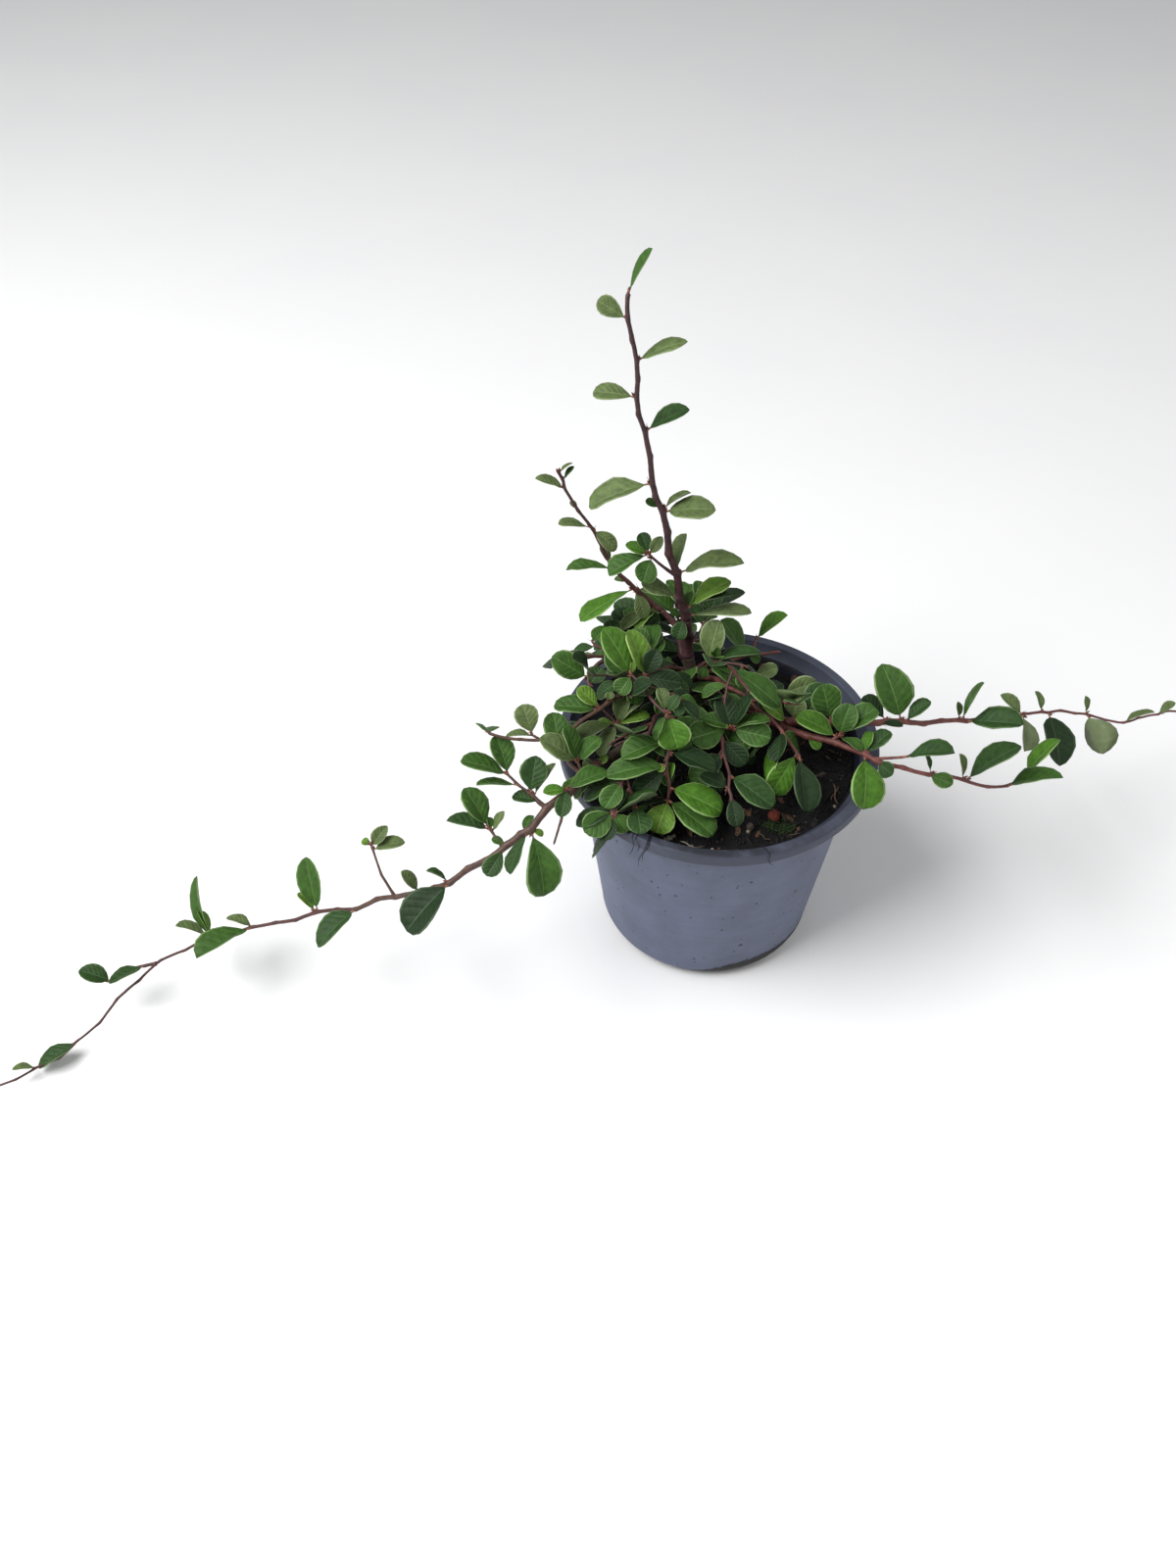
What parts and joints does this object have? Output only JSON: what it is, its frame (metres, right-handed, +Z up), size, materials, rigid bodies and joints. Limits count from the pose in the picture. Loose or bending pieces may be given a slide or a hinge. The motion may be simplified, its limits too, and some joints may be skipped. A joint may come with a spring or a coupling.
{
  "type": "potted creeping shrub",
  "caption": "Low creeping evergreen shrub with small glossy oval leaves, one upright shoot and long trailing runners, growing in a round nursery pot that stands on its base.",
  "frame": {"origin": "centre of the pot's flat underside, on the ground", "axes": "+Z up, +X to the right and +Y away from the camera in the picture"},
  "size_m": [0.5191, 0.1833, 0.2882],
  "materials": {
    "pot_plastic": "matte moulded grey-blue plastic with specks of compost",
    "compost": "damp dark potting compost with bark chips and feed grains",
    "bark": "smooth red-brown young bark",
    "foliage": "leathery semi-gloss green leaves on thin red-brown twigs"
  },
  "bodies": {
    "root": {"pot": "pot_plastic", "soil": "compost", "trunk": "bark", "bough_upright": "bark", "spray_upright": "foliage", "bough_back_left": "bark", "spray_back_left": "foliage", "bough_left": "bark", "spray_left_inner": "foliage", "spray_left_outer": "foliage", "bough_right": "bark", "spray_right_upper_inner": "foliage", "spray_right_upper_outer": "foliage", "spray_right_lower": "foliage", "mound_front": "foliage", "mound_front_right": "foliage", "mound_right_front": "foliage", "mound_front_left": "foliage", "mound_left": "foliage", "mound_left_back": "foliage", "mound_back": "foliage", "mound_behind": "foliage", "mound_right_back": "foliage", "mound_right": "foliage", "mound_centre": "foliage", "mound_centre_right": "foliage"}
  },
  "joints": []
}
